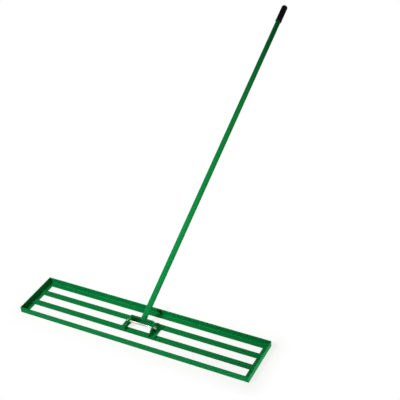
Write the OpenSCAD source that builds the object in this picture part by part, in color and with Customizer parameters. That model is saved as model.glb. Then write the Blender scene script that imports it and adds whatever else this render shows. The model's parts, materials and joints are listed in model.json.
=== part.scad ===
// Lawn leveling rake: a welded frame of angle iron with two flat inner bars, dragged over the soil
// by a long sectional handle that tilts on a bolt between two lugs.
// The head lies flat on the ground, its long side along X. The handle leans back towards +Y.

/* [Head frame] */
// Length of the head over its end walls
head_l = 1219; // [700:1:1800]
// Width of the head over its front and back walls
head_w = 254; // [220:1:400]
// Leg of the angle iron, upright and flat alike
angle_leg = 30; // [24:1:34]
// Thickness of the angle iron
angle_t = 3; // [2:0.5:5]
// Fillet in the root of the angle iron
angle_root_r = 4; // [2:0.5:6]
// Rounding of the angle iron's toes
angle_toe_r = 1.5; // [0.5:0.25:1.75]

/* [Inner bars] */
// Width of a flat inner bar
bar_w = 33; // [25:1:40]
// Thickness of a flat inner bar
bar_t = 3; // [2:0.5:5]
// Distance between the two bars' centre lines
bar_pitch = 77; // [70:1:90]
// Rounding of a flat bar's long edges
bar_edge_r = 0.6; // [0.2:0.1:0.9]
// Room left at a bar's end for the weld, before the end wall's fillet
bar_end_gap = 4; // [3:0.5:12]

/* [Lugs] */
// Leg of a lug's angle iron, upright and flat alike
lug_leg = 30; // [28:1:40]
// Thickness of a lug's angle iron
lug_t = 3; // [2:0.5:5]
// Length of a lug's foot across the bars
lug_foot = 104; // [90:1:110]
// Length of a lug's top edge, between its sloping ends
lug_top = 54; // [40:1:70]
// Rounding of a lug's upper corners
lug_corner_r = 6; // [2:0.5:10]

/* [Pivot bolt] */
// Height of the pivot axis above the ground
pivot_h = 25; // [24.5:0.5:32]
// Diameter of the pivot bolt
bolt_d = 10; // [8:0.5:12]
// Width of the bolt's head and nut across the flats
hex_af = 17; // [15:0.5:19]
// Height of the bolt's head
bolt_head_h = 6.4; // [5:0.2:8]
// Height of the lock nut, collar included
nut_h = 10; // [9:0.5:12]
// Length of bolt that stands proud of the nut
bolt_proud = 1.2; // [0.6:0.2:4]
// Diameter of a washer
washer_d = 20; // [18:0.5:24]
// Thickness of a washer
washer_t = 2; // [1:0.25:3]
// Radial running clearance of the bolt in the yoke
pivot_clear = 0.05; // [0.02:0.01:0.1]
// Radial clearance of the bolt in the lugs and washers
bolt_hole_clear = 0.25; // [0.1:0.05:0.5]
// Radial clearance left between threads
thread_clear = 0.1; // [0.05:0.05:0.2]

/* [Yoke] */
// Inside width of the yoke between its ears
yoke_in = 120; // [80:1:150]
// Thickness of the yoke's strip
yoke_t = 4; // [3:0.5:6]
// Width of the yoke's strip, which ends in half rounds about the bolt
yoke_w = 33; // [32:0.5:36]
// Distance from the pivot axis to the inside of the web
web_reach = 24; // [22:1:40]
// Inside radius of the yoke's two bends
bend_r = 4; // [2:0.5:8]
// Side gap between an ear and its lug
ear_gap = 0.4; // [0.3:0.05:1]

/* [Handle] */
// Angle of the handle above the ground, as it is set down
handle_angle = 26.5; // [12:0.5:60]
// Diameter of the handle's tube
tube_d = 28; // [24:0.5:28]
// Wall of the handle's tube
tube_t = 1.2; // [0.8:0.1:2]
// Length of each handle section
section_l = 660; // [300:10:900]
// Chamfer on a tube's end where two sections meet
tube_chamfer = 0.5; // [0.2:0.1:0.7]

/* [Screw joints] */
// Diameter of a screw joint's stud
stud_d = 16; // [12:0.5:18]
// Length of the stud's threaded shank
stud_l = 28; // [20:1:60]
// Length of the stud's plug inside its tube
plug_l = 18; // [12:1:50]
// Depth of thread left empty under the stud
thread_spare = 4; // [2:0.5:10]
// Radial clearance of plugs and bushes in a tube
plug_clear = 0.1; // [0.05:0.05:0.2]

/* [Grip] */
// Diameter of the grip
grip_d = 34; // [31:0.5:40]
// Length of the grip over its closed end
grip_l = 114; // [95:1:200]
// Thickness of the grip's closed end
grip_cap = 10; // [3:0.5:14]
// Rounding of the grip's closed end
grip_edge_r = 11; // [4:0.5:14]
// Radius of the bead round the grip's mouth
grip_bead_r = 2.5; // [1.5:0.25:4]
// Number of ring grooves in the grip
groove_count = 6; // [0:1:10]
// Spacing of the ring grooves
groove_pitch = 9; // [6:0.5:12]
// Width of a ring groove
groove_w = 2.4; // [1:0.2:4]
// Depth of a ring groove
groove_depth = 0.7; // [0.3:0.1:1.2]
// Radial clearance of the grip on the tube
grip_clear = 0.05; // [0.02:0.01:0.2]

/* [Welds] */
// Leg of the weld round the handle's foot
foot_weld = 2.5; // [1.5:0.25:2.5]
// Leg of the welds along the lugs' toes
lug_weld = 3; // [1.5:0.25:4]
// Leg of the welds across the bars' ends
bar_weld = 2; // [1:0.25:2.5]
// Leg of the welds in the frame's inside corners
corner_weld = 2; // [1:0.25:3]
// Length of plain plate left beyond each end of a straight weld
weld_stop = 3; // [1:0.5:6]

/* [Hidden] */
$fn = 64;

green = [0.06, 0.55, 0.27];
zinc = [0.80, 0.81, 0.82];
nylon = [0.25, 0.40, 0.75];
black = [0.06, 0.06, 0.06];

// How far a cutting shape runs past what it cuts
over = 1;

bar_z = angle_t;
bar_top = bar_z + bar_t;
bar_half_l = head_l / 2 - angle_t - angle_root_r - bar_end_gap;

tube_r = tube_d / 2;
bore_r = tube_r - tube_t;
bolt_r = bolt_d / 2;
yoke_half = yoke_in / 2 + yoke_t;
lug_in = yoke_half + ear_gap;
lug_out = lug_in + lug_t;
lug_toe = lug_in + lug_leg;
web_out = web_reach + yoke_t;

// Stations along the handle, measured from the pivot axis
first_joint = web_out + section_l;
second_joint = first_joint + section_l;
tube_end = second_joint + section_l;
handle_tip = tube_end + grip_cap;
grip_mouth = handle_tip - grip_l;
grip_r = grip_d / 2;
grip_bore_r = tube_r + grip_clear;

// The origin is on the ground, midway between the head's front wall and the farthest point of the grip
grip_reach = (handle_tip - grip_edge_r) * cos(handle_angle)
    + (grip_r - grip_edge_r) * sin(handle_angle) + grip_edge_r;
pivot_y = (head_w / 2 - grip_reach) / 2;

// Hexagon and chamfer shared by the bolt's head and the nut
hex_r = hex_af / sqrt(3);
hex_face_r = 0.475 * hex_af;
hex_chamfer_h = (hex_r - hex_face_r) * tan(30);

// The nut is a hexagon below and a collar above, which holds the nylon ring
nut_hex_h = 0.7 * nut_h;
collar_r = 0.44 * hex_af;
collar_t = 1;
collar_lip_r = bolt_r + 0.6;
collar_round = 1;
ring_r = collar_r - collar_t;
ring_h = nut_h - nut_hex_h - collar_t;
bolt_tip_chamfer = 1;

washer_x = lug_out + washer_t;
bush_l = stud_l + thread_spare;
plug_r = bore_r - plug_clear;

function unit(v) = v / norm(v);

// Distance from a corner b, between a and c, to where a rounding of radius r begins
function corner_run(a, b, c, r) =
    let (half = acos(unit(a - b) * unit(c - b)) / 2) r / tan(half);

function corner_centre(a, b, c, r) =
    let (half = acos(unit(a - b) * unit(c - b)) / 2)
    b + unit(unit(a - b) + unit(c - b)) * r / sin(half);

// A convex outline whose corner i is rounded to radii[i]
module rounded_outline(points, radii) {
    n = len(points);
    polygon([
        for (i = [0 : n - 1])
            let (a = points[(i + n - 1) % n], b = points[i], c = points[(i + 1) % n])
            each radii[i] == 0 ? [b] : [
                b + unit(a - b) * corner_run(a, b, c, radii[i]),
                b + unit(c - b) * corner_run(a, b, c, radii[i])
            ]
    ]);
    for (i = [0 : n - 1])
        if (radii[i] > 0)
            translate(corner_centre(points[(i + n - 1) % n], points[i], points[(i + 1) % n], radii[i]))
                circle(radii[i]);
}

// A quarter disc of weld metal in the corner between two plates
module bead_section(leg) {
    intersection() {
        circle(leg);
        square(leg);
    }
}

// Puts children, drawn along +X with their section in YZ, on the head's own centre
module on_head() {
    translate([0, pivot_y, 0]) children();
}

// Puts children, drawn along +Z from the pivot axis, on the leaning handle
module on_handle() {
    translate([0, pivot_y, pivot_h]) rotate([handle_angle - 90, 0, 0]) children();
}

// Puts children, drawn along +Z, on the pivot bolt's axis, from x outwards to the right
module on_bolt(x) {
    translate([x, pivot_y, pivot_h]) rotate([0, 90, 0]) children();
}

// Extrudes a section drawn in YZ along X, centred
module along_x(length) {
    rotate([90, 0, 90]) linear_extrude(length, center = true) children();
}

// Section of angle iron: the upright leg stands at the left, the flat one lies to the right
module angle_section(leg, t) {
    difference() {
        union() {
            square([t, leg]);
            square([leg, t]);
            translate([t, t]) difference() {
                square(angle_root_r);
                translate([angle_root_r, angle_root_r]) circle(angle_root_r);
            }
        }
        translate([leg - angle_toe_r, t - angle_toe_r]) toe_cut();
        translate([t - angle_toe_r, leg - angle_toe_r]) toe_cut();
    }
}

// What a toe's rounding takes off a square corner
module toe_cut() {
    difference() {
        square(angle_toe_r + over);
        circle(angle_toe_r);
    }
}

// One side of the frame, its outer face on y = 0 and both ends mitred
module mitred_angle(length) {
    wide = length / 2 + over;
    deep = angle_leg + over;
    narrow = length / 2 - deep;
    color(green) intersection() {
        along_x(length + 2 * over) angle_section(angle_leg, angle_t);
        translate([0, 0, -over]) linear_extrude(angle_leg + 2 * over)
            polygon([[-wide, -over], [wide, -over], [narrow, deep], [-narrow, deep]]);
    }
}

module front_angle() {
    on_head() translate([0, -head_w / 2, 0]) mitred_angle(head_l);
}

module back_angle() {
    on_head() translate([0, head_w / 2, 0]) rotate(180) mitred_angle(head_l);
}

module left_end_angle() {
    on_head() translate([-head_l / 2, 0, 0]) rotate(-90) mitred_angle(head_w);
}

module right_end_angle() {
    on_head() translate([head_l / 2, 0, 0]) rotate(90) mitred_angle(head_w);
}

// A flat bar with eased edges, lying on the end angles' legs
module inner_bar(side) {
    half = bar_w / 2;
    corners = [[-half, 0], [half, 0], [half, bar_t], [-half, bar_t]];
    color(green) on_head() translate([0, side * bar_pitch / 2, bar_z])
        along_x(2 * bar_half_l) rounded_outline(corners, [for (c = corners) bar_edge_r]);
}

module front_bar() {
    inner_bar(-1);
}

module rear_bar() {
    inner_bar(1);
}

// A length of angle iron across both bars, with its foot outwards. Its upright slopes off above the
// root fillet towards both ends, and is drilled for the bolt.
module lug(turn) {
    low = bar_top - over;
    slope_z = bar_top + lug_t + angle_root_r;
    high = bar_top + lug_leg;
    outline = [
        [-lug_foot / 2, low], [lug_foot / 2, low], [lug_foot / 2, slope_z],
        [lug_top / 2, high], [-lug_top / 2, high], [-lug_foot / 2, slope_z]
    ];
    color(green) on_head() rotate(turn) difference() {
        intersection() {
            translate([lug_in, 0, bar_top]) rotate([90, 0, 0])
                linear_extrude(lug_foot + 2 * over, center = true) angle_section(lug_leg, lug_t);
            translate([lug_in + lug_leg / 2, 0, 0]) along_x(lug_leg + 2 * over)
                rounded_outline(outline, [0, 0, 0, lug_corner_r, lug_corner_r, 0]);
        }
        translate([lug_in - over, 0, pivot_h]) rotate([0, 90, 0])
            cylinder(h = lug_t + 2 * over, r = bolt_r + bolt_hole_clear);
    }
}

module left_lug() {
    lug(180);
}

module right_lug() {
    lug(0);
}

// A bead up each inside corner of the frame, above the legs' fillets
module corner_welds() {
    foot = angle_t + angle_root_r;
    in_x = head_l / 2 - angle_t;
    in_y = head_w / 2 - angle_t;
    color(green) on_head()
        for (corner = [[-in_x, -in_y, 0], [in_x, -in_y, 90], [in_x, in_y, 180], [-in_x, in_y, 270]])
            translate([corner[0], corner[1], foot]) rotate(corner[2])
                linear_extrude(angle_leg - foot - weld_stop) bead_section(corner_weld);
}

// A bead across each end of each bar, on the end angle's leg
module bar_welds() {
    color(green) on_head()
        for (side = [-1, 1], end = [0, 180])
            rotate(end) translate([bar_half_l, side * bar_pitch / 2, bar_z])
                rotate([90, 0, 0]) linear_extrude(bar_w - 2 * weld_stop, center = true)
                    bead_section(bar_weld);
}

// A bead along the toe of each lug's foot, on each bar
module lug_welds() {
    start = bar_pitch / 2 - bar_w / 2 + weld_stop;
    stop = lug_foot / 2 - weld_stop;
    color(green) on_head()
        for (side = [-1, 1], end = [0, 180])
            rotate(end) translate([lug_toe, side * (start + stop) / 2, bar_top])
                rotate([90, 0, 0]) linear_extrude(stop - start, center = true)
                    bead_section(lug_weld);
}

// A hexagon along +Z, chamfered round its far end
module hex_block(height) {
    intersection() {
        cylinder(h = height, r = hex_r, $fn = 6);
        rotate_extrude() polygon([
            [0, 0], [hex_r + over, 0], [hex_r + over, height - hex_chamfer_h],
            [hex_r, height - hex_chamfer_h], [hex_face_r, height], [0, height]
        ]);
    }
}

// The bolt goes in from the left and shows its tip beyond the nut
module pivot_bolt() {
    shank_l = 2 * washer_x + nut_h + bolt_proud;
    color(zinc) union() {
        on_bolt(-washer_x) rotate([180, 0, 0]) hex_block(bolt_head_h);
        on_bolt(-washer_x) rotate_extrude() polygon([
            [0, -over], [bolt_r, -over], [bolt_r, shank_l - bolt_tip_chamfer],
            [bolt_r - bolt_tip_chamfer, shank_l], [0, shank_l]
        ]);
    }
}

module bolt_washers() {
    color(zinc) for (x = [-washer_x, lug_out])
        on_bolt(x) difference() {
            cylinder(h = washer_t, r = washer_d / 2);
            translate([0, 0, -over]) cylinder(h = washer_t + 2 * over, r = bolt_r + bolt_hole_clear);
        }
}

// A lock nut: a hexagon with a round collar that is crimped over the nylon ring
module pivot_nut() {
    color(zinc) on_bolt(washer_x) difference() {
        union() {
            hex_block(nut_hex_h);
            rotate_extrude() rounded_outline(
                [[0, 0], [collar_r, 0], [collar_r, nut_h], [0, nut_h]],
                [0, 0, collar_round, 0]
            );
        }
        translate([0, 0, -over]) cylinder(h = nut_h, r = bolt_r + thread_clear);
        translate([0, 0, nut_hex_h]) cylinder(h = ring_h, r = ring_r);
        translate([0, 0, nut_hex_h]) cylinder(h = nut_h, r = collar_lip_r);
    }
}

module nut_insert() {
    color(nylon) on_bolt(washer_x) translate([0, 0, nut_hex_h]) difference() {
        cylinder(h = ring_h, r = ring_r - thread_clear);
        translate([0, 0, -over]) cylinder(h = ring_h + 2 * over, r = bolt_r + thread_clear);
    }
}

// A strip bent to a U, whose ears end in half rounds about the bolt
module yoke() {
    ear_r = yoke_w / 2;
    ear_end = -ear_r - over;
    bent = bend_r + yoke_t;
    outer = [[yoke_half, ear_end], [yoke_half, web_out], [-yoke_half, web_out], [-yoke_half, ear_end]];
    half_in = yoke_in / 2;
    low = ear_end - over;
    inner = [[half_in, low], [half_in, web_reach], [-half_in, web_reach], [-half_in, low]];
    color(green) on_handle() difference() {
        intersection() {
            rotate([90, 0, 0]) linear_extrude(yoke_w + 2 * over, center = true) difference() {
                rounded_outline(outer, [0, bent, bent, 0]);
                rounded_outline(inner, [0, bend_r, bend_r, 0]);
            }
            rotate([0, -90, 0]) linear_extrude(2 * yoke_half + 2 * over, center = true) {
                circle(ear_r);
                translate([0, -ear_r]) square([web_out + over, yoke_w]);
            }
        }
        rotate([0, 90, 0]) cylinder(h = 2 * yoke_half + 2 * over, r = bolt_r + pivot_clear, center = true);
    }
}

// The weld that joins the handle's foot to the yoke's web
module foot_weld_ring() {
    color(green) on_handle() translate([0, 0, web_out])
        rotate_extrude() translate([tube_r, 0]) bead_section(foot_weld);
}

// One handle section, with both ends chamfered
module tube_section(start) {
    shoulder = tube_r - tube_chamfer;
    color(green) on_handle() translate([0, 0, start]) rotate_extrude() polygon([
        [bore_r, 0], [shoulder, 0], [tube_r, tube_chamfer],
        [tube_r, section_l - tube_chamfer], [shoulder, section_l], [bore_r, section_l]
    ]);
}

module lower_tube() {
    tube_section(web_out);
}

module middle_tube() {
    tube_section(first_joint);
}

module upper_tube() {
    tube_section(second_joint);
}

// A threaded bush, flush with the upper end of its tube
module joint_bush(joint) {
    color(zinc) on_handle() translate([0, 0, joint - bush_l]) difference() {
        cylinder(h = bush_l, r = plug_r);
        translate([0, 0, -over]) cylinder(h = bush_l + 2 * over, r = stud_d / 2 + thread_clear);
    }
}

// A stud: its plug fills the foot of the next tube and its shank screws into the bush below
module joint_stud(joint) {
    color(zinc) on_handle() translate([0, 0, joint]) rotate_extrude() polygon([
        [0, -stud_l], [stud_d / 2 - bolt_tip_chamfer, -stud_l], [stud_d / 2, -stud_l + bolt_tip_chamfer],
        [stud_d / 2, 0], [plug_r, 0], [plug_r, plug_l], [0, plug_l]
    ]);
}

module lower_joint_bush() {
    joint_bush(first_joint);
}

module lower_joint_stud() {
    joint_stud(first_joint);
}

module upper_joint_bush() {
    joint_bush(second_joint);
}

module upper_joint_stud() {
    joint_stud(second_joint);
}

// A moulded sleeve with a closed, rounded end, a bead round its mouth and ring grooves between
module grip() {
    first_groove = grip_l / 2 - (groove_count - 1) * groove_pitch / 2;
    color(black) on_handle() translate([0, 0, grip_mouth]) difference() {
        union() {
            rotate_extrude() intersection() {
                rounded_outline(
                    [[0, 0], [grip_r, 0], [grip_r, grip_l], [0, grip_l]],
                    [0, 0, grip_edge_r, 0]
                );
                square([grip_r + over, grip_l + over]);
            }
            rotate_extrude() translate([grip_r - grip_bead_r / 2, grip_bead_r]) circle(grip_bead_r);
        }
        translate([0, 0, -over]) cylinder(h = grip_l - grip_cap + over, r = grip_bore_r);
        for (i = [0 : 1 : groove_count - 1])
            translate([0, 0, first_groove + i * groove_pitch]) rotate_extrude()
                polygon([
                    [grip_r - groove_depth, -groove_w / 4], [grip_r - groove_depth, groove_w / 4],
                    [grip_r + over, groove_w], [grip_r + over, -groove_w]
                ]);
    }
}

front_angle();
back_angle();
left_end_angle();
right_end_angle();
front_bar();
rear_bar();
left_lug();
right_lug();
corner_welds();
bar_welds();
lug_welds();
pivot_bolt();
bolt_washers();
pivot_nut();
nut_insert();
yoke();
foot_weld_ring();
lower_tube();
middle_tube();
upper_tube();
lower_joint_bush();
lower_joint_stud();
upper_joint_bush();
upper_joint_stud();
grip();
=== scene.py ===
import json
import math
import bmesh
import bpy
from mathutils import Matrix, Vector


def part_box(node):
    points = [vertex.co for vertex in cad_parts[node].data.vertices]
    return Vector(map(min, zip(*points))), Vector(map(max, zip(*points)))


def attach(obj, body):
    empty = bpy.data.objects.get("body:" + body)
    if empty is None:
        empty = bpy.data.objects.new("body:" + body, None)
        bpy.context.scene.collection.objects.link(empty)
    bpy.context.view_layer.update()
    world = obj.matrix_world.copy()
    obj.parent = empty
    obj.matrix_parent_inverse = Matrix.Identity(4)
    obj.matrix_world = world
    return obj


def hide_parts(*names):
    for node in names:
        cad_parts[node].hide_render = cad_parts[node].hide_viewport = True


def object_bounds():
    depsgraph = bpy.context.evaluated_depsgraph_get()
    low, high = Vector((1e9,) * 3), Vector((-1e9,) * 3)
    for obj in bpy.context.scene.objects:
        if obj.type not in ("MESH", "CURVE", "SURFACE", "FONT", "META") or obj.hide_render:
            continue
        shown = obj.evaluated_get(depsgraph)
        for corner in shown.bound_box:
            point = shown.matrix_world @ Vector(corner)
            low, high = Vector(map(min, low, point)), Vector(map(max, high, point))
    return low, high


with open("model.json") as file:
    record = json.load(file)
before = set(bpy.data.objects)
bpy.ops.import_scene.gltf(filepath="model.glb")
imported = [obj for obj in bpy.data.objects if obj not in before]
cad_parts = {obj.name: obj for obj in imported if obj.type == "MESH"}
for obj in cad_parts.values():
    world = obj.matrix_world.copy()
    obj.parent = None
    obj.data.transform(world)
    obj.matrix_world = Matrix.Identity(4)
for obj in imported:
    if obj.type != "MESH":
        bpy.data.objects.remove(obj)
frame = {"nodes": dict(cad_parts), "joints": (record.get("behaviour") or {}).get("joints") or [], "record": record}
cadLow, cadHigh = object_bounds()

scene = bpy.context.scene
nodes = frame["nodes"]
mounts = {m["name"]: m for m in frame["record"]["mounts"]}
pivot = Vector(frame["joints"][0]["pos_m"])  # centre of the bolt, midway between the lugs
handleAxis = Vector(mounts["grip_end"]["axis"]).normalized()  # from the yoke to the grip
headCentre = Vector((pivot.x, pivot.y, 0))
mergeGap = 0.000002  # points nearer than this become one
cutGap = 0.0000001  # points nearer than this to a cut lie in it
touchGap = 0.00001  # slack in telling on which side of a plane a point is


# places along the handle and the bolt

def axisMatrix(origin, axis, side=Vector((1, 0, 0))):  # local z along axis, local x near side
    zDir = axis.normalized()
    xDir = (side - zDir * side.dot(zDir)).normalized()
    yDir = zDir.cross(xDir)
    turned = Matrix((xDir, yDir, zDir)).transposed().to_4x4()
    return Matrix.Translation(origin) @ turned


def startOf(node):  # where a node begins along the handle, from the pivot
    return min((v.co - pivot).dot(handleAxis) for v in nodes[node].data.vertices)


# shader helpers

def addNode(tree, kind, **values):
    made = tree.nodes.new(kind)
    for key, value in values.items():
        setattr(made, key, value)
    return made


def plug(tree, source, target):
    tree.links.new(source, target)


def newMaterial(name):
    made = bpy.data.materials.new(name)
    made.use_nodes = True
    tree = made.node_tree
    shader = tree.nodes["Principled BSDF"]
    place = addNode(tree, "ShaderNodeTexCoord").outputs["Object"]
    return made, tree, shader, place


def newGroup(name, inputs, outputs):
    group = bpy.data.node_groups.new(name, "ShaderNodeTree")
    for label, kind, value in inputs:
        socket = group.interface.new_socket(label, in_out="INPUT", socket_type=kind)
        if value is not None:
            socket.default_value = value
    for label, kind in outputs:
        group.interface.new_socket(label, in_out="OUTPUT", socket_type=kind)
    start = addNode(group, "NodeGroupInput")
    end = addNode(group, "NodeGroupOutput")
    return group, start.outputs, end.inputs


def useGroup(tree, group, place, **values):
    made = addNode(tree, "ShaderNodeGroup", node_tree=group)
    plug(tree, place, made.inputs["Place"])
    for key, value in values.items():
        made.inputs[key].default_value = value
    return made.outputs


def ramp(tree, source, low, high, outLow=0.0, outHigh=1.0):
    made = addNode(tree, "ShaderNodeMapRange")
    made.inputs["From Min"].default_value = low
    made.inputs["From Max"].default_value = high
    made.inputs["To Min"].default_value = outLow
    made.inputs["To Max"].default_value = outHigh
    plug(tree, source, made.inputs["Value"])
    return made.outputs["Result"]


# soft uneven patches, from 0 to 1, used for colour and for gloss
patchSet = {"scale": 8.0, "detail": 3.0, "low": 0.3, "high": 0.7}  # noise at low gives 0, at high 1


def makePatches():
    group, start, end = newGroup(
        "unevenPatches",
        [("Place", "NodeSocketVector", None), ("Scale", "NodeSocketFloat", patchSet["scale"]),
         ("Detail", "NodeSocketFloat", patchSet["detail"])],
        [("Mask", "NodeSocketFloat")],
    )
    cloud = addNode(group, "ShaderNodeTexNoise")
    for label, target in (("Place", "Vector"), ("Scale", "Scale"), ("Detail", "Detail")):
        plug(group, start[label], cloud.inputs[target])
    mask = ramp(group, cloud.outputs["Fac"], patchSet["low"], patchSet["high"])
    plug(group, mask, end["Mask"])
    return group


# orange peel of a sprayed or moulded skin: broad waves under a fine grain
peelSet = {
    "waves": 350.0, "waveDetail": 1.0,
    "grain": 1800.0, "grainDetail": 2.0, "grainShare": 0.3,
}


def makePeel():
    group, start, end = newGroup(
        "orangePeel",
        [("Place", "NodeSocketVector", None), ("Waves", "NodeSocketFloat", peelSet["waves"]),
         ("Grain", "NodeSocketFloat", peelSet["grain"]),
         ("Grain Share", "NodeSocketFloat", peelSet["grainShare"])],
        [("Height", "NodeSocketFloat")],
    )
    both = addNode(group, "ShaderNodeMix", data_type="FLOAT")
    plug(group, start["Grain Share"], both.inputs["Factor"])
    for label, detail, side in (("Waves", "waveDetail", "A"), ("Grain", "grainDetail", "B")):
        noise = addNode(group, "ShaderNodeTexNoise")
        noise.inputs["Detail"].default_value = peelSet[detail]
        plug(group, start["Place"], noise.inputs["Vector"])
        plug(group, start[label], noise.inputs["Scale"])
        plug(group, noise.outputs["Fac"], both.inputs[side])
    plug(group, both.outputs["Result"], end["Height"])
    return group


patchGroup = makePatches()
peelGroup = makePeel()
print("shared finishes ready")


# what the finishes below have in common

def addTone(tree, shader, mask, low, high):
    blend = addNode(tree, "ShaderNodeMix", data_type="RGBA")
    blend.inputs["A"].default_value = (*low, 1)
    blend.inputs["B"].default_value = (*high, 1)
    plug(tree, mask, blend.inputs["Factor"])
    plug(tree, blend.outputs["Result"], shader.inputs["Base Color"])


def addSheen(tree, shader, place, look, gloss, dull):  # roughness wanders between gloss and dull
    scale, detail = look["sheenScale"], look["sheenDetail"]
    mask = useGroup(tree, patchGroup, place, Scale=scale, Detail=detail)["Mask"]
    plug(tree, ramp(tree, mask, 0, 1, gloss, dull), shader.inputs["Roughness"])


def addPeel(tree, shader, place, look):
    peel = useGroup(tree, peelGroup, place, Waves=look["waves"], Grain=look["grain"])
    bump = addNode(tree, "ShaderNodeBump")
    bump.inputs["Strength"].default_value = look["peelStrength"]
    bump.inputs["Distance"].default_value = look["peelDepth"]
    plug(tree, peel["Height"], bump.inputs["Height"])
    plug(tree, bump.outputs["Normal"], shader.inputs["Normal"])


# the green coat on the steel, and a darker copy of it on the weld beads: painted shade standing in for the shadows
# at the welds
coat = {
    "shine": 0.05, "gloss": 0.44, "dull": 0.58, "sheenScale": 60.0, "sheenDetail": 2.0,
    "patchScale": 5.0, "speckScale": 450.0, "speckShare": 0.3,
    "waves": 350.0, "grain": 1800.0, "peelStrength": 0.6, "peelDepth": 0.00005,
    "greenPowderCoat": {"light": (0.004, 0.292, 0.077), "deep": (0.003, 0.262, 0.066)},
    # darker copy for the weld beads: painted shade, not a different coat
    "paintedShadeWeldCoat": {"light": (0.003, 0.130, 0.034), "deep": (0.002, 0.085, 0.022)},
}


def coatMaterial(name):
    made, tree, shader, place = newMaterial(name)
    shader.inputs["Specular IOR Level"].default_value = coat["shine"]
    tone = addNode(tree, "ShaderNodeMix", data_type="FLOAT")
    tone.inputs["Factor"].default_value = coat["speckShare"]
    for side, scale in (("A", coat["patchScale"]), ("B", coat["speckScale"])):
        plug(tree, useGroup(tree, patchGroup, place, Scale=scale)["Mask"], tone.inputs[side])
    addTone(tree, shader, tone.outputs["Result"], coat[name]["deep"], coat[name]["light"])
    addSheen(tree, shader, place, coat, coat["gloss"], coat["dull"])
    addPeel(tree, shader, place, coat)
    return made


# drawn and plated shank, and the duller plating of the small forged pieces
zinc = {
    "toneScale": 120.0, "sheenScale": 700.0, "sheenDetail": 2.0,
    "waves": 900.0, "grain": 4000.0, "peelStrength": 0.2, "peelDepth": 0.00001,
    "brightZinc": {"high": (0.72, 0.73, 0.74), "low": (0.58, 0.59, 0.61),
                   "gloss": 0.16, "dull": 0.28},
    "cloudyZinc": {"high": (0.24, 0.26, 0.25), "low": (0.17, 0.19, 0.18),
                   "gloss": 0.38, "dull": 0.52},
}


def zincMaterial(name):
    made, tree, shader, place = newMaterial(name)
    plating = zinc[name]
    shader.inputs["Metallic"].default_value = 1.0
    tone = useGroup(tree, patchGroup, place, Scale=zinc["toneScale"])["Mask"]
    addTone(tree, shader, tone, plating["low"], plating["high"])
    addSheen(tree, shader, place, zinc, plating["gloss"], plating["dull"])
    addPeel(tree, shader, place, zinc)
    return made


# moulded black rubber, a little grey where hands rub it
rubber = {
    "black": (0.0015, 0.0015, 0.0016), "worn": (0.0032, 0.0032, 0.0034), "toneScale": 45.0,
    "shine": 0.05, "gloss": 0.5, "dull": 0.7, "sheenScale": 150.0, "sheenDetail": 3.0,
    "waves": 1200.0, "grain": 2600.0, "peelStrength": 0.5, "peelDepth": 0.00008,
}


def gripMaterial():
    made, tree, shader, place = newMaterial("gripRubber")
    shader.inputs["Specular IOR Level"].default_value = rubber["shine"]
    tone = useGroup(tree, patchGroup, place, Scale=rubber["toneScale"])["Mask"]
    addTone(tree, shader, tone, rubber["black"], rubber["worn"])
    addSheen(tree, shader, place, rubber, rubber["gloss"], rubber["dull"])
    addPeel(tree, shader, place, rubber)
    return made


# blue locking ring of the nut
nylon = {
    "deep": (0.03, 0.09, 0.32), "light": (0.05, 0.14, 0.45), "toneScale": 200.0,
    "gloss": 0.40, "dull": 0.55, "sheenScale": 500.0, "sheenDetail": 3.0,
}


def nylonMaterial():
    made, tree, shader, place = newMaterial("lockNylon")
    tone = useGroup(tree, patchGroup, place, Scale=nylon["toneScale"])["Mask"]
    addTone(tree, shader, tone, nylon["deep"], nylon["light"])
    addSheen(tree, shader, place, nylon, nylon["gloss"], nylon["dull"])
    return made


finishes = {
    "green_coat": coatMaterial("greenPowderCoat"), "zinc": zincMaterial("brightZinc"),
    "grip_rubber": gripMaterial(), "nylon": nylonMaterial(),
}
cloudyZinc = zincMaterial("cloudyZinc")
# the weld beads get a darker copy of the green coat as painted shade for the shadows beside them
paintedShadeWeldCoat = coatMaterial("paintedShadeWeldCoat")
for part in frame["record"]["subparts"]:
    skin = nodes[part["node"]].data
    skin.materials.clear()
    cloudy = part["node"] in ("pivot_nut", "bolt_washers")
    skin.materials.append(cloudyZinc if cloudy else finishes[part["material_slot"]])
print("finishes on", len(nodes), "frame pieces")


# cut edges of the steel, broken a little as a file leaves them
easeSet = {
    "segments": 2, "angle": 40,  # degrees
    "width": {
        "left_lug": 0.0005, "right_lug": 0.0005, "yoke": 0.0006,
        "front_bar": 0.0005, "rear_bar": 0.0005,
        "front_angle": 0.0004, "back_angle": 0.0004,
        "left_end_angle": 0.0004, "right_end_angle": 0.0004,
    },
}


def easeEdges():
    for name, width in easeSet["width"].items():
        joined = nodes[name].modifiers.new("joinSkin", "WELD")
        joined.merge_threshold = mergeGap
        ease = nodes[name].modifiers.new("easeEdges", "BEVEL")
        ease.width = width
        ease.segments = easeSet["segments"]
        ease.limit_method = "ANGLE"
        ease.angle_limit = math.radians(easeSet["angle"])
        ease.use_clamp_overlap = False
        ease.loop_slide = False
        ease.harden_normals = True


easeEdges()
print("edges eased on", len(easeSet["width"]), "pieces")


# helpers for pieces that stand for plain ones

def cutBehind(bm, point, normal):  # takes off what lies behind a plane and closes the cut
    cut = bmesh.ops.bisect_plane(bm, geom=bm.verts[:] + bm.edges[:] + bm.faces[:], dist=cutGap,
                                 plane_co=point, plane_no=normal, clear_inner=True)
    rim = [e for e in cut["geom_cut"] if isinstance(e, bmesh.types.BMEdge)]
    if rim:
        bmesh.ops.edgeloop_fill(bm, edges=rim)


def joinInto(bm, part, matrix):
    part.transform(matrix)
    held = bpy.data.meshes.new("held")
    part.to_mesh(held)
    part.free()
    bm.from_mesh(held)
    bpy.data.meshes.remove(held)


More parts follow.
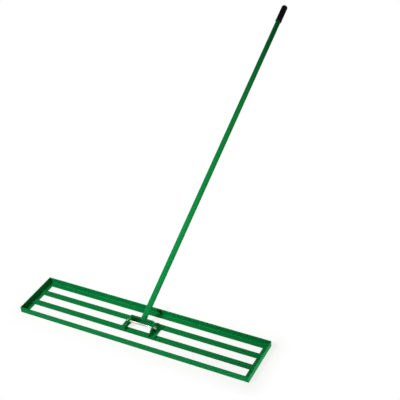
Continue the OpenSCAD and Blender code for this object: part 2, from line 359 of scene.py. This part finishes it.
def finishPiece(name, bm, body, standsFor, skin, sharp=40):  # shading breaks at sharp degrees
    bmesh.ops.remove_doubles(bm, verts=bm.verts, dist=mergeGap)
    bmesh.ops.recalc_face_normals(bm, faces=bm.faces)
    mesh = bpy.data.meshes.new(name)
    bm.to_mesh(mesh)
    bm.free()
    for face in mesh.polygons:
        face.use_smooth = True
    mesh.set_sharp_from_angle(angle=math.radians(sharp))
    mesh.materials.append(skin)
    made = bpy.data.objects.new(name, mesh)
    scene.collection.objects.link(made)
    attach(made, body)
    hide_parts(standsFor)
    return made


# weld beads: a rod of weld metal in the corner of two plates, rippled and with rounded ends
beadSet = {
    "rounds": 28, "step": 0.00028, "pitch": 0.0013, "sink": 0.0001,
    "ripple": 0.13, "lean": 0.8,  # depth in shares of the radius, and trail in shares of the pitch
    "stop": 0.003, "endShare": 0.08,  # how far short of a plate's end, and how thin there
    "cornerLeg": 0.002, "barLeg": 0.002, "lugLeg": 0.003, "toeSink": 0.0016,
    "footLeg": 0.0025, "footSteps": 5,  # steps of the foot's ring for each ripple
}


def rippleAt(run, pitch, turn):  # share of the full radius, at a place along the bead and round it
    lag = beadSet["lean"] * math.cos(turn - math.pi / 4)
    return 1 - beadSet["ripple"] * (1 - abs(math.sin(math.pi * (run / pitch - lag))))


def straightBead(length, leg, sinkX):  # along local z, with the plates at x = 0 and y = 0
    bm = bmesh.new()
    bmesh.ops.create_cone(bm, cap_ends=True, segments=beadSet["rounds"],
                          radius1=leg, radius2=leg, depth=length)
    runs = [e for e in bm.edges if abs(e.verts[0].co.z - e.verts[1].co.z) > length / 2]
    bmesh.ops.subdivide_edges(bm, edges=runs, cuts=round(length / beadSet["step"]))
    for v in bm.verts:
        turn = math.atan2(v.co.y, v.co.x)
        left = min(1, max(0, (length / 2 - abs(v.co.z)) / leg))  # distance to the end, in legs
        rounded = max(beadSet["endShare"], math.sqrt(1 - (1 - left) ** 2))
        v.co.xy *= rounded * rippleAt(v.co.z, beadSet["pitch"], turn)
    cutBehind(bm, (-sinkX, 0, 0), (1, 0, 0))
    cutBehind(bm, (0, -beadSet["sink"], 0), (0, 1, 0))
    return bm


def cornerMatrix(origin, xDir, yDir):
    turned = Matrix((xDir, yDir, xDir.cross(yDir))).transposed().to_4x4()
    return Matrix.Translation(origin) @ turned


def cornerBeads():
    low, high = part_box("corner_welds")
    bm = bmesh.new()
    for x, inX in ((low[0], 1), (high[0], -1)):
        for y, inY in ((low[1], 1), (high[1], -1)):
            bead = straightBead(high[2] - low[2], beadSet["cornerLeg"], beadSet["sink"])
            middle = Vector((x, y, (low[2] + high[2]) / 2))
            joinInto(bm, bead, cornerMatrix(middle, Vector((inX, 0, 0)), Vector((0, inY, 0))))
    finishPiece("cornerBeads", bm, "head", "corner_welds", paintedShadeWeldCoat)


def barBeads():
    bm = bmesh.new()
    for bar in ("front_bar", "rear_bar"):
        low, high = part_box(bar)
        length = high[1] - low[1] - 2 * beadSet["stop"]
        for x, outX in ((low[0], -1), (high[0], 1)):
            bead = straightBead(length, beadSet["barLeg"], beadSet["sink"])
            middle = Vector((x, (low[1] + high[1]) / 2, low[2]))
            joinInto(bm, bead, cornerMatrix(middle, Vector((outX, 0, 0)), Vector((0, 0, 1))))
    finishPiece("barBeads", bm, "head", "bar_welds", paintedShadeWeldCoat)


def lugBeads():
    bm = bmesh.new()
    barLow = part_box("rear_bar")[0]
    near = barLow[1] - headCentre.y + beadSet["stop"]
    for lug, side in (("left_lug", -1), ("right_lug", 1)):
        low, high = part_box(lug)
        toe = high[0] if side > 0 else low[0]
        far = high[1] - headCentre.y - beadSet["stop"]
        for back in (-1, 1):
            bead = straightBead(far - near, beadSet["lugLeg"], beadSet["toeSink"])
            middle = Vector((toe, headCentre.y + back * (near + far) / 2, low[2]))
            joinInto(bm, bead, cornerMatrix(middle, Vector((side, 0, 0)), Vector((0, 0, 1))))
    finishPiece("lugBeads", bm, "head", "lug_welds", paintedShadeWeldCoat)


def footBead():  # a ring round the tube where it stands on the yoke
    foot = startOf("lower_tube")
    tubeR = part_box("lower_tube")[1][0]
    ripples = round(2 * math.pi * tubeR / beadSet["pitch"])
    bm = bmesh.new()
    rounds, leg = beadSet["rounds"], beadSet["footLeg"]
    section = bmesh.ops.create_circle(bm, segments=rounds, radius=leg)["verts"]
    bmesh.ops.rotate(bm, verts=section, cent=(0, 0, 0), matrix=Matrix.Rotation(math.pi / 2, 3, "X"))
    bmesh.ops.translate(bm, verts=section, vec=(tubeR, 0, 0))
    bmesh.ops.spin(bm, geom=bm.verts[:] + bm.edges[:], cent=(0, 0, 0), axis=(0, 0, 1),
                   angle=2 * math.pi, steps=ripples * beadSet["footSteps"], use_merge=True)
    for v in bm.verts:
        out = v.co.xy.length
        around = math.atan2(v.co.y, v.co.x)
        turn = math.atan2(v.co.z, out - tubeR)
        share = rippleAt(around * ripples, 2 * math.pi, turn)
        v.co.xy *= (tubeR + (out - tubeR) * share) / out
        v.co.z *= share
    cutBehind(bm, (0, 0, -beadSet["sink"]), (0, 0, 1))
    ring = bmesh.new()
    joinInto(ring, bm, axisMatrix(pivot + handleAxis * foot, handleAxis))
    finishPiece("footBead", ring, "handle", "foot_weld_ring", paintedShadeWeldCoat)


cornerBeads()
barBeads()
lugBeads()
footBead()
print("weld beads made")


# pivot bolt: the head and plain shank as they are, the thread cut as a helix
boltSet = {
    "radius": 0.00496, "depth": 0.00092, "pitch": 0.0015, "length": 0.032,
    "profile": (0, 0.19, 0.54, 0.65, 1),  # root, crest and next root, in shares of the pitch
    "turnSteps": 48, "turnsBefore": 2, "turnsAfter": 1,  # whole turns that the cuts take off again
    "lead": 0.0006, "chamfer": 0.0012, "sharp": 18,
}


def threadShell(length):  # along local z from a little below 0 to length
    b = boltSet
    root, crest = b["radius"] - b["depth"], b["radius"]
    bm = bmesh.new()
    chain = []
    for radius, share in zip((root, root, crest, crest, root), b["profile"]):
        chain.append(bm.verts.new((radius, 0, (share - b["turnsBefore"]) * b["pitch"])))
    for first, second in zip(chain, chain[1:]):
        bm.edges.new((first, second))
    turns = math.ceil(length / b["pitch"]) + b["turnsBefore"] + b["turnsAfter"]
    bmesh.ops.spin(bm, geom=bm.verts[:] + bm.edges[:], cent=(0, 0, 0), axis=(0, 0, 1),
                   angle=turns * 2 * math.pi, steps=turns * b["turnSteps"],
                   dvec=(0, 0, b["pitch"] / b["turnSteps"]))
    bmesh.ops.remove_doubles(bm, verts=bm.verts, dist=mergeGap)
    cutBehind(bm, (0, 0, -b["lead"]), (0, 0, 1))
    cutBehind(bm, (0, 0, length), (0, 0, -1))
    for v in bm.verts:
        out = v.co.xy.length
        if out == 0:
            continue
        limit = crest - max(0, v.co.z - (length - b["chamfer"]))
        if v.co.z < touchGap:  # inside the plain shank, so that it doesn't show there
            limit = root
        v.co.xy *= min(out, limit) / out
    return bm


def pivotBolt():
    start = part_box("pivot_bolt")[1][0] - boltSet["length"]
    bm = bmesh.new()
    bm.from_mesh(nodes["pivot_bolt"].data)
    bmesh.ops.remove_doubles(bm, verts=bm.verts, dist=mergeGap)
    cutBehind(bm, (start, 0, 0), (-1, 0, 0))
    along, across = Vector((1, 0, 0)), Vector((0, 1, 0))
    thread = threadShell(boltSet["length"])
    joinInto(bm, thread, axisMatrix(Vector((start, pivot.y, pivot.z)), along, across))
    bolt = finishPiece("threadedBolt", bm, "head", "pivot_bolt", finishes["zinc"],
                       sharp=boltSet["sharp"])
    bolt.data.materials.append(cloudyZinc)
    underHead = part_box("bolt_washers")[0][0]
    for face in bolt.data.polygons:
        face.material_index = int(face.center.x < underHead + touchGap)


pivotBolt()
print("pivot bolt made")


# camera, matched to the photo's perspective
cameraSet = {
    "azimuth": 28.797, "elevation": 33.298, "roll": -3.950,  # degrees
    "distance": 4.25105, "aimRight": 0.274804, "aimUp": 0.606998,  # metres from the head's centre
    "lens": 80.879, "sensor": 36.0,  # millimetres
}


def placeCamera():
    turn = math.radians(cameraSet["azimuth"])
    rise = math.radians(cameraSet["elevation"])
    level = math.cos(rise)
    back = Vector((math.sin(turn) * level, -math.cos(turn) * level, math.sin(rise)))
    upright = axisMatrix(Vector((0, 0, 0)), back, Vector((math.cos(turn), math.sin(turn), 0)))
    facing = upright @ Matrix.Rotation(math.radians(cameraSet["roll"]), 4, "Z")
    right, up = facing.col[0].xyz, facing.col[1].xyz
    aim = headCentre + right * cameraSet["aimRight"] + up * cameraSet["aimUp"]
    data = bpy.data.cameras.new("photoCamera")
    data.lens = cameraSet["lens"]
    data.sensor_width = cameraSet["sensor"]
    eye = bpy.data.objects.new("photoCamera", data)
    scene.collection.objects.link(eye)
    eye.matrix_world = Matrix.Translation(aim + back * cameraSet["distance"]) @ facing
    scene.camera = eye


placeCamera()

# six lamps, each with its place and aim measured from the head's centre
white, warm, amber = (1, 1, 1), (1.0, 1.0, 0.5), (1.0, 1.0, 0.3)
lampSet = {
    "key": {"at": (-2.53, -3.28, 3.78), "aim": (-0.30, 0.35, 0.15), "size": 1.4, "spread": 36,
            "power": 10.2, "tint": white},
    "side": {"at": (1.0, -0.15, 1.4), "aim": (0, 0.54, 0.29), "size": 0.8, "spread": 70,
             "power": 2.03, "tint": warm},
    "upper": {"at": (1.1, 1.5, 1.3), "aim": (0, 1.16, 0.60), "size": 0.5, "spread": 45,
              "power": 0.33, "tint": amber},
    "lowLeft": {"at": (-4.4, -2.6, 0.035), "aim": (0.9, -0.127, 0.015), "size": 0.05, "spread": 32,
                "power": 2.55, "tint": white},
    "lowRight": {"at": (2.0, -0.6, 0.035), "aim": (0.61, -0.06, 0.015), "size": 0.05, "spread": 90,
                 "power": 4.1, "tint": white},
    "back": {"at": (-0.6, 3.0, 0.42), "aim": (0, 0.5, 0.15), "size": 0.7, "spread": 60,
             "power": 2.0, "tint": white},
}


def placeLamps():
    for name, lamp in lampSet.items():
        data = bpy.data.lights.new(name + "Lamp", "AREA")
        data.color = lamp["tint"]
        data.shape = "SQUARE"
        data.size = lamp["size"]
        data.spread = math.radians(lamp["spread"])
        data.energy = lamp["power"]
        made = bpy.data.objects.new(name + "Lamp", data)
        made.visible_camera = False
        scene.collection.objects.link(made)
        at, aim = Vector(lamp["at"]), Vector(lamp["aim"])
        made.matrix_world = axisMatrix(headCentre + at, at - aim)


def seenRays(tree):  # 1 for what is seen, also in a reflection, and 0 for light on matt surfaces
    path = addNode(tree, "ShaderNodeLightPath")
    seen = path.outputs["Is Camera Ray"]
    for label in ("Is Glossy Ray", "Is Transmission Ray"):
        either = addNode(tree, "ShaderNodeMath", operation="MAXIMUM")
        plug(tree, seen, either.inputs[0])
        plug(tree, path.outputs[label], either.inputs[1])
        seen = either.outputs[0]
    direct = addNode(tree, "ShaderNodeMath", operation="SUBTRACT", use_clamp=True)
    plug(tree, seen, direct.inputs[0])
    plug(tree, path.outputs["Diffuse Depth"], direct.inputs[1])
    return direct.outputs[0]


floorSet = {
    "size": 16.0, "bounce": 0.3,
    "lit": 0.66,  # how bright the lamps alone make a white floor beside the head
    "shadowShare": 0.30, "fadeFrom": 0.005, "fadeTo": 0.09,  # metres from the head
}


def shadowMask(tree):  # full at the head, none some way off, so that the backdrop stays white
    halfHead = Vector((cadHigh[0], headCentre.y - cadLow[1], 0))
    steps = (
        ("SUBTRACT", headCentre), ("ABSOLUTE", None),
        ("SUBTRACT", halfHead), ("MAXIMUM", Vector((0, 0, 0))),
    )
    reach = addNode(tree, "ShaderNodeTexCoord").outputs["Object"]
    for operation, value in steps:
        step = addNode(tree, "ShaderNodeVectorMath", operation=operation)
        plug(tree, reach, step.inputs[0])
        if value is not None:
            step.inputs[1].default_value = value
        reach = step.outputs["Vector"]
    far = addNode(tree, "ShaderNodeVectorMath", operation="LENGTH")
    plug(tree, reach, far.inputs[0])
    return ramp(tree, far.outputs["Value"], floorSet["fadeFrom"], floorSet["fadeTo"],
                floorSet["shadowShare"], 0.0)


def placeFloor():
    bm = bmesh.new()
    bmesh.ops.create_grid(bm, x_segments=1, y_segments=1, size=floorSet["size"] / 2)
    mesh = bpy.data.meshes.new("floor")
    bm.to_mesh(mesh)
    bm.free()
    floor = bpy.data.objects.new("floor", mesh)
    scene.collection.objects.link(floor)
    made = bpy.data.materials.new("floorWhite")
    made.use_nodes = True
    tree = made.node_tree
    tree.nodes.clear()
    matt = addNode(tree, "ShaderNodeBsdfDiffuse")  # what lights the rake from below
    matt.inputs["Color"].default_value = (floorSet["bounce"],) * 3 + (1,)
    share = shadowMask(tree)
    shade = addNode(tree, "ShaderNodeBsdfDiffuse")
    plug(tree, share, shade.inputs["Color"])
    glow = addNode(tree, "ShaderNodeEmission")  # what the lamps lack to make the floor white
    plug(tree, ramp(tree, share, 0, 1, 1, 1 - floorSet["lit"]), glow.inputs["Color"])
    shown = addNode(tree, "ShaderNodeAddShader")
    plug(tree, glow.outputs[0], shown.inputs[0])
    plug(tree, shade.outputs[0], shown.inputs[1])
    either = addNode(tree, "ShaderNodeMixShader")
    plug(tree, seenRays(tree), either.inputs["Fac"])
    plug(tree, matt.outputs[0], either.inputs[1])
    plug(tree, shown.outputs[0], either.inputs[2])
    plug(tree, either.outputs[0], addNode(tree, "ShaderNodeOutputMaterial").inputs["Surface"])
    mesh.materials.append(made)


skySet = {"dim": 0.02, "blank": (1, 1, 1, 1)}  # faint light from all round, and the white seen


def placeSky():
    world = bpy.data.worlds.new("studio")
    scene.world = world
    world.use_nodes = True
    tree = world.node_tree
    tree.nodes.clear()
    dim = addNode(tree, "ShaderNodeBackground")
    dim.inputs["Strength"].default_value = skySet["dim"]
    blank = addNode(tree, "ShaderNodeBackground")
    blank.inputs["Color"].default_value = skySet["blank"]
    either = addNode(tree, "ShaderNodeMixShader")
    plug(tree, seenRays(tree), either.inputs["Fac"])
    plug(tree, dim.outputs[0], either.inputs[1])
    plug(tree, blank.outputs[0], either.inputs[2])
    plug(tree, either.outputs[0], addNode(tree, "ShaderNodeOutputWorld").inputs["Surface"])


placeLamps()
placeFloor()
placeSky()
scene.view_settings.view_transform = "Standard"
print("camera, light and floor placed")
